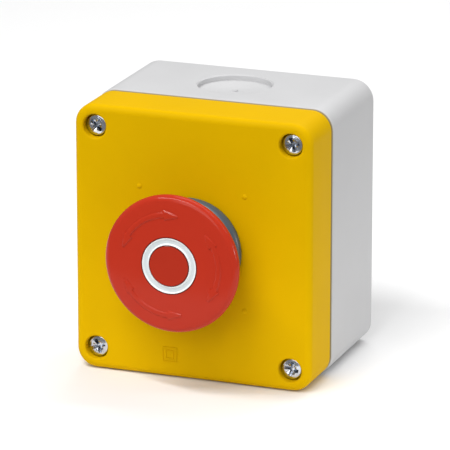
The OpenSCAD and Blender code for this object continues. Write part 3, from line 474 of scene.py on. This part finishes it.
def turned(name, outline, steps=64):
    """A mesh turned on a lathe from (radius, height) points about the Z axis, in mm."""
    mesh = bpy.data.meshes.new(name)
    work = bmesh.new()
    chain = [work.verts.new((r * MM, 0, h * MM)) for r, h in outline]
    edges = [work.edges.new(pair) for pair in zip(chain, chain[1:])]
    bmesh.ops.spin(work, geom=chain + edges, cent=(0, 0, 0), axis=(0, 0, 1),
                   angle=math.tau, steps=steps, use_merge=True)
    bmesh.ops.remove_doubles(work, verts=work.verts, dist=WELD / 10)
    bmesh.ops.recalc_face_normals(work, faces=work.faces)
    work.to_mesh(mesh)
    work.free()
    return mesh


crown_line = [(r, math.sqrt(CROWN_R ** 2 - r * r) - CROWN_R)
              for r in [CROWN_EDGE * i / 12 for i in range(13)]]
edge_line = [(CROWN_EDGE + EDGE_R * math.sin(math.radians(a)),
              -CROWN - EDGE_R + EDGE_R * math.cos(math.radians(a))) for a in range(15, 91, 15)]
blank = turned("Screw head", [*crown_line, *edge_line, (HEAD_R, -HEAD_H), (0, -HEAD_H)])
print("crown radius", round(CROWN_R, 1), "mm,", len(blank.polygons), "faces")

# %% Tools for its drive


def cross(reach, half):
    """The outline of a cross with arms of that reach and half width."""
    quarter = [(reach, half), (half, half), (half, reach)]
    mirrored = [(-x, y) for x, y in quarter[::-1]]
    return quarter + mirrored + [(-x, -y) for x, y in quarter] + [(-x, -y) for x, y in mirrored]


def punch(name, plan, low, high, taper, turn=0.0):
    """A closed prism between two levels, whose foot is its plan times taper."""
    mesh = bpy.data.meshes.new(name)
    work = bmesh.new()
    foot = [work.verts.new((x * taper * MM, y * taper * MM, low * MM)) for x, y in plan]
    top = [work.verts.new((x * MM, y * MM, high * MM)) for x, y in plan]
    work.faces.new(foot[::-1])
    work.faces.new(top)
    for i, j in zip(range(len(plan)), [*range(1, len(plan)), 0]):
        work.faces.new((foot[i], foot[j], top[j], top[i]))
    bmesh.ops.rotate(work, cent=(0, 0, 0), matrix=Matrix.Rotation(turn, 3, "Z"),
                     verts=work.verts)
    work.to_mesh(mesh)
    work.free()
    return mesh


def cut(mesh, tool):
    """Returns a mesh with the tool cut out of it."""
    helpers = [bpy.data.objects.new(m.name, m) for m in (mesh, tool)]
    for helper in helpers:
        scene.collection.objects.link(helper)
    boolean = helpers[0].modifiers.new("Cut", "BOOLEAN")
    boolean.operation, boolean.solver, boolean.object = "DIFFERENCE", "EXACT", helpers[1]
    bpy.context.view_layer.update()
    seen = helpers[0].evaluated_get(bpy.context.evaluated_depsgraph_get())
    result = bpy.data.meshes.new_from_object(seen)
    for helper in helpers:
        bpy.data.objects.remove(helper)
    return result


print("corners of a cross", len(cross(2.5, 0.6)))

# %% Cut the drive
facets = turned("Facets", [(0, -1.15), (2.3, 0.12), (0, 0.12)], steps=8)
drive = punch("Drive", cross(reach=2.5, half=0.6), low=-2.1, high=0.2, taper=0.35)
ticks = punch("Ticks", cross(reach=2.4, half=0.2), low=-0.8, high=0.4, taper=0.5,
              turn=math.pi / 4)
head_mesh = cut(cut(cut(blank, facets), drive), ticks)
print("screw head", len(head_mesh.polygons), "faces")

# %% [markdown]
# ## The four screws in their wells
# Below its head a screw is a plain core with a thread, and the thread follows a spiral. Four
# screws could be copied by hand, but they repeat on a rectangle: a tree adds the shank to the
# head once and sets it on the corners of a grid. Each screw is turned half a radian further
# than the one before, because no two screws end up alike after tightening.

# %% Four screws at the corners
SCREW_X, SCREW_Z, SINK = 30.1, 33.6, 1.2     # the crowns lie a little under the face
FIRST_TURN, NEXT_TURN = 0.35, 0.5            # in radians
SHANK, SHANK_TOP, CORE_R = 27.8, 2.3, 1.68   # levels are counted down from the crown
PITCH, TURNS, THREAD_END = 0.7, 19.0, 29.6
THREAD_R, RIDGE_R = 1.76, 0.24               # of the spiral, and of the wire that follows it
screw_tree, given = new_tree("Cover screws", Across=2 * SCREW_X * MM, Upright=2 * SCREW_Z * MM,
                             Shank=SHANK * MM, Finish=bright_zinc)
core = node(screw_tree, "GeometryNodeMeshCylinder",
            {"Vertices": 32, "Radius": CORE_R * MM, "Depth": given["Shank"]})
half_down = node(screw_tree, "ShaderNodeMath", {0: given["Shank"], 1: -0.5, 2: -SHANK_TOP * MM},
                 operation="MULTIPLY_ADD")
drop = node(screw_tree, "ShaderNodeCombineXYZ", {"Z": half_down.outputs[0]})
core_low = node(screw_tree, "GeometryNodeTransform",
                {"Geometry": core.outputs["Mesh"], "Translation": drop.outputs[0]})
helix = node(screw_tree, "GeometryNodeCurveSpiral",
             {"Resolution": 20, "Rotations": TURNS, "Start Radius": THREAD_R * MM,
              "End Radius": THREAD_R * MM, "Height": TURNS * PITCH * MM})
ridge = node(screw_tree, "GeometryNodeCurvePrimitiveCircle",
             {"Resolution": 6, "Radius": RIDGE_R * MM})
thread = node(screw_tree, "GeometryNodeCurveToMesh",
              {"Curve": helix.outputs[0], "Profile Curve": ridge.outputs[0], "Fill Caps": True})
thread_low = node(screw_tree, "GeometryNodeTransform",
                  {"Geometry": thread.outputs[0], "Translation": (0, 0, -THREAD_END * MM)})
one = node(screw_tree, "GeometryNodeJoinGeometry")
for piece in (given["Geometry"], core_low.outputs[0], thread_low.outputs[0]):
    screw_tree.links.new(piece, one.inputs[0])
corners = node(screw_tree, "GeometryNodeMeshGrid",
               {"Size X": given["Across"], "Size Y": given["Upright"],
                "Vertices X": 2, "Vertices Y": 2})
turn = node(screw_tree, "ShaderNodeMath",
            {0: node(screw_tree, "GeometryNodeInputIndex").outputs[0], 1: NEXT_TURN,
             2: FIRST_TURN}, operation="MULTIPLY_ADD")
about = node(screw_tree, "ShaderNodeCombineXYZ", {"Z": turn.outputs[0]})
four = node(screw_tree, "GeometryNodeInstanceOnPoints",
            {"Points": corners.outputs["Mesh"], "Instance": one.outputs[0],
             "Rotation": about.outputs[0]})
real = node(screw_tree, "GeometryNodeRealizeInstances", {"Geometry": four.outputs[0]})
node(screw_tree, "NodeGroupOutput",
     {0: node(screw_tree, "GeometryNodeSetMaterial",
              {"Geometry": smooth_above(screw_tree, real.outputs[0], 35),
               "Material": given["Finish"]}).outputs[0]})
screws = grow("cross_drive_screws", screw_tree, "root", "zinc_steel", start=head_mesh,
              Across=2 * SCREW_X * MM, Upright=2 * SCREW_Z * MM)
screws.data.transform(Matrix.Translation(on_face(0, 0, -SINK)) @ STAND_OUT)
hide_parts("cover_screws")

# %% [markdown]
# ## Turning arrows
# Three arrows in relief on the head show that it is turned to release it. Each is a band along
# an arc with a point at both ends, and it has to lie on the shallow dome. It could be
# projected onto the head, but the dome is part of a sphere, so its height is worked out.
# The band's section is a low trapezium with gentle flanks, as a cut in a mould leaves it:
# the upper flanks catch the light and the lower ones fall dark, which draws the arrow.

# %% One arrow on the dome
HEAD_RIM, HEAD_RIM_R = 15.4, 2.0         # level and radius of the head's round rim
HEAD_FLAT_R, DOME_RISE = 18.4, 0.9       # where the dome ends, and how far it rises
RISE = HEAD_RIM_R + DOME_RISE
DOME_R = (HEAD_FLAT_R ** 2 + RISE ** 2 - HEAD_RIM_R ** 2) / (2 * DOME_RISE)


def dome(r):
    """Height of the dome over the cover's face at radius r, in mm."""
    return HEAD_RIM + RISE - DOME_R + math.sqrt(DOME_R ** 2 - r * r)


ARC, SHOULDER, TIP = 25.5, 0.2, 41.5     # band, step to the point, and its tip, in degrees
MEAN_R, BAND, POINT, END = 14.9, 0.5, 1.2, 0.08     # radius, and half widths
RELIEF, FLANK, FOOT = 0.3, 0.4, -0.05    # height, width of a flank, and level of its foot
STEPS, SHARP, BEVEL = 40, 0.6, 0.06      # along the band; edges over 0.6 radians are rounded
stations = [(-TIP, END), (-ARC - SHOULDER, POINT), (-ARC, BAND)]
stations += [(-ARC + 2 * ARC * i / STEPS, BAND) for i in range(1, STEPS)]
stations += [(ARC, BAND), (ARC + SHOULDER, POINT), (TIP, END)]
arrow = bpy.data.meshes.new("Turning arrow")
work = bmesh.new()
rows = []
for angle, half in stations:
    a = math.radians(angle)
    row = []
    for side, high in ((-half - FLANK, FOOT), (-half, RELIEF), (half, RELIEF),
                       (half + FLANK, FOOT)):
        r = MEAN_R + side
        row.append(work.verts.new(on_face(r * math.cos(a), r * math.sin(a), dome(r) + high)))
    rows.append(row)
for one_row, next_row in zip(rows, rows[1:]):
    for k in range(3):
        work.faces.new((one_row[k], one_row[k + 1], next_row[k + 1], next_row[k]))
work.faces.new(rows[0])
work.faces.new(rows[-1][::-1])
bmesh.ops.recalc_face_normals(work, faces=work.faces)
creases = [edge for edge in work.edges if edge.calc_face_angle(0) > SHARP]
bmesh.ops.bevel(work, geom=creases, offset=BEVEL * MM, segments=2, affect="EDGES", profile=0.6)
work.to_mesh(arrow)
work.free()
print("one arrow", len(arrow.polygons), "faces on a dome of radius", round(DOME_R), "mm")

# %% Three arrows round the axis
arrow_tree, given = new_tree("Arrows round the head", Count=3, First=math.radians(2.0),
                             Finish=red_polyamide)
points = node(arrow_tree, "GeometryNodePoints", {"Count": given["Count"]})
step = node(arrow_tree, "ShaderNodeMath", {0: math.tau, 1: given["Count"]}, operation="DIVIDE")
turn = node(arrow_tree, "ShaderNodeMath",
            {0: node(arrow_tree, "GeometryNodeInputIndex").outputs[0], 1: step.outputs[0],
             2: given["First"]}, operation="MULTIPLY_ADD")
about = node(arrow_tree, "ShaderNodeMath", {0: turn.outputs[0], 1: -1.0}, operation="MULTIPLY")
spin = node(arrow_tree, "ShaderNodeCombineXYZ", {"Y": about.outputs[0]})
three = node(arrow_tree, "GeometryNodeInstanceOnPoints",
             {"Points": points.outputs[0], "Instance": given["Geometry"],
              "Rotation": spin.outputs[0]})
real = node(arrow_tree, "GeometryNodeRealizeInstances", {"Geometry": three.outputs[0]})
node(arrow_tree, "NodeGroupOutput",
     {0: node(arrow_tree, "GeometryNodeSetMaterial",
              {"Geometry": smooth_above(arrow_tree, real.outputs[0], 40),
               "Material": given["Finish"]}).outputs[0]})
grow("turning_arrows", arrow_tree, "head", "head_red", start=arrow)

# %% [markdown]
# ## Two squares on the cover
# Low on the cover stands the usual sign for double insulation, two squares one inside the
# other, raised by a hair. A rectangle curve swept with a fine round section is enough.

# %% Raise the two squares
SQUARES_X, SQUARES_UP = -7.0, -33.0
square_tree, given = new_tree("Two squares", Outer=4.3 * MM, Inner=2.3 * MM, Line=0.21 * MM,
                              Finish=yellow_abs)
both = node(square_tree, "GeometryNodeJoinGeometry")
for size in ("Outer", "Inner"):
    side = node(square_tree, "GeometryNodeCurvePrimitiveQuadrilateral",
                {"Width": given[size], "Height": given[size]})
    square_tree.links.new(side.outputs[0], both.inputs[0])
section = node(square_tree, "GeometryNodeCurvePrimitiveCircle",
               {"Resolution": 10, "Radius": given["Line"]})
swept = node(square_tree, "GeometryNodeCurveToMesh",
             {"Curve": both.outputs[0], "Profile Curve": section.outputs[0]})
real = node(square_tree, "GeometryNodeRealizeInstances",
            {"Geometry": smooth_above(square_tree, swept.outputs[0], 50)})
node(square_tree, "NodeGroupOutput",
     {0: node(square_tree, "GeometryNodeSetMaterial",
              {"Geometry": real.outputs[0], "Material": given["Finish"]}).outputs[0]})
squares = grow("double_squares", square_tree, "root", "cover_yellow")
squares.data.transform(Matrix.Translation(on_face(SQUARES_X, SQUARES_UP, 0.0)) @ STAND_OUT)

# %% [markdown]
# ## Floor and light
# The station stands on a small white table. A large lamp in front, a little to the right,
# models the head and lays its soft shadow on the cover. A lamp behind lights the top and
# the table, and a weak world fills the shadows. Three small, bright lamps change the shading
# little, but the polished head mirrors them as narrow highlights round its rim. All of them
# could be one ring of light, but then no shadow would tell how far the head stands out.

# %% Floor
LEFT, RIGHT, NEAR, FAR = -0.3, 0.18, -0.15, 0.46     # the table's sides, in metres
floor_mesh = bpy.data.meshes.new("studio_floor")
# A hair under the box: two faces on one level would show black where they overlap.
level = cad_box[0][2] - 0.05 * MM
floor_mesh.from_pydata([(LEFT, NEAR, level), (RIGHT, NEAR, level), (RIGHT, FAR, level),
                        (LEFT, FAR, level)], [], [(0, 1, 2, 3)])
floor = bpy.data.objects.new("studio_floor", floor_mesh)
scene.collection.objects.link(floor)
# Matte paper: no mirror image of the station, only its soft shadow.
paper = bpy.data.materials.new("White background paper, matte")
paper.use_nodes = True
shader = paper.node_tree.nodes["Principled BSDF"]
shader.inputs["Base Color"].default_value = colour("F4F4F4")
shader.inputs["Roughness"].default_value = 0.9
floor_mesh.materials.append(paper)
print("floor at", round(level / MM, 2), "mm")

# %% Light


def softbox(name, place, aim, width, power, along=None):
    """An area lamp aimed at a point, in metres and watts; along makes it a strip."""
    lamp = bpy.data.lights.new(name, "AREA")
    lamp.size, lamp.energy = width, power
    look = (Vector(aim) - Vector(place)).normalized()
    side = Vector(along or (1, 0, 0))
    if along:
        lamp.shape, lamp.size, lamp.size_y = "RECTANGLE", side.length, width
    side = (side - look * side.dot(look)).normalized()
    holder = bpy.data.objects.new(name, lamp)
    scene.collection.objects.link(holder)
    holder.location = place
    holder.rotation_mode = "QUATERNION"
    axes = Matrix((side, side.cross(look), -look)).transposed()
    holder.rotation_quaternion = axes.to_quaternion()


softbox("Key", (0.06, -1.02, 0.64), (0, -0.05, 0), 0.8, 6.9)
softbox("Top", (0.1, 0.62, 0.96), (0, 0.2, 0), 0.9, 6.9)
softbox("Strip", (-0.2, -0.42, 0.74), (0, -0.05, 0), 0.06, 4.5, along=(0.6, -0.27, 0.04))
softbox("Rim", (0.6, 0.14, 0.63), (0, -0.05, 0), 0.05, 0.9, along=(0.4, 0.1, -0.34))
softbox("Right", (1.0, 0.02, 0.12), (0, -0.05, 0), 0.2, 2.2)
world = bpy.data.worlds.new("White room")
world.use_nodes = True
background = world.node_tree.nodes["Background"]
background.inputs["Color"].default_value = colour("FFFFFF")
background.inputs["Strength"].default_value = 0.24
scene.world = world
scene.view_settings.view_transform = "Standard"
print("lamps", len(bpy.data.lights))

# %% [markdown]
# ## Camera
# A product photograph is taken from a good way off with a long lens, so that parallel edges
# stay nearly parallel. The camera stands a little to the right of the station and above it.
# It could be placed by eye, but two angles and a distance can be fitted to the outlines.

# %% Camera
AZIMUTH, ELEVATION = 20.70, 16.80            # in degrees
LENS, DISTANCE = 330.4, 1.2149               # in millimetres and in metres
a, e = math.radians(AZIMUTH), math.radians(ELEVATION)
back = Vector((math.sin(a) * math.cos(e), -math.cos(a) * math.cos(e), math.sin(e)))
right = Vector((math.cos(a), math.sin(a), 0))
up = back.cross(right)
# The object sits two pixels above the picture's middle.
middle = Vector((0, -27 * MM, 0)) - up * 0.5 * MM
camera = bpy.data.objects.new("Camera", bpy.data.cameras.new("Camera"))
scene.collection.objects.link(camera)
camera.data.lens, camera.data.sensor_width = LENS, 36.0
camera.data.clip_start, camera.data.clip_end = 0.05, 20.0
camera.location = middle + back * DISTANCE
camera.rotation_mode = "QUATERNION"
camera.rotation_quaternion = (-back).to_track_quat("-Z", "Y")
scene.camera = camera
print("camera", [round(v, 3) for v in camera.location])
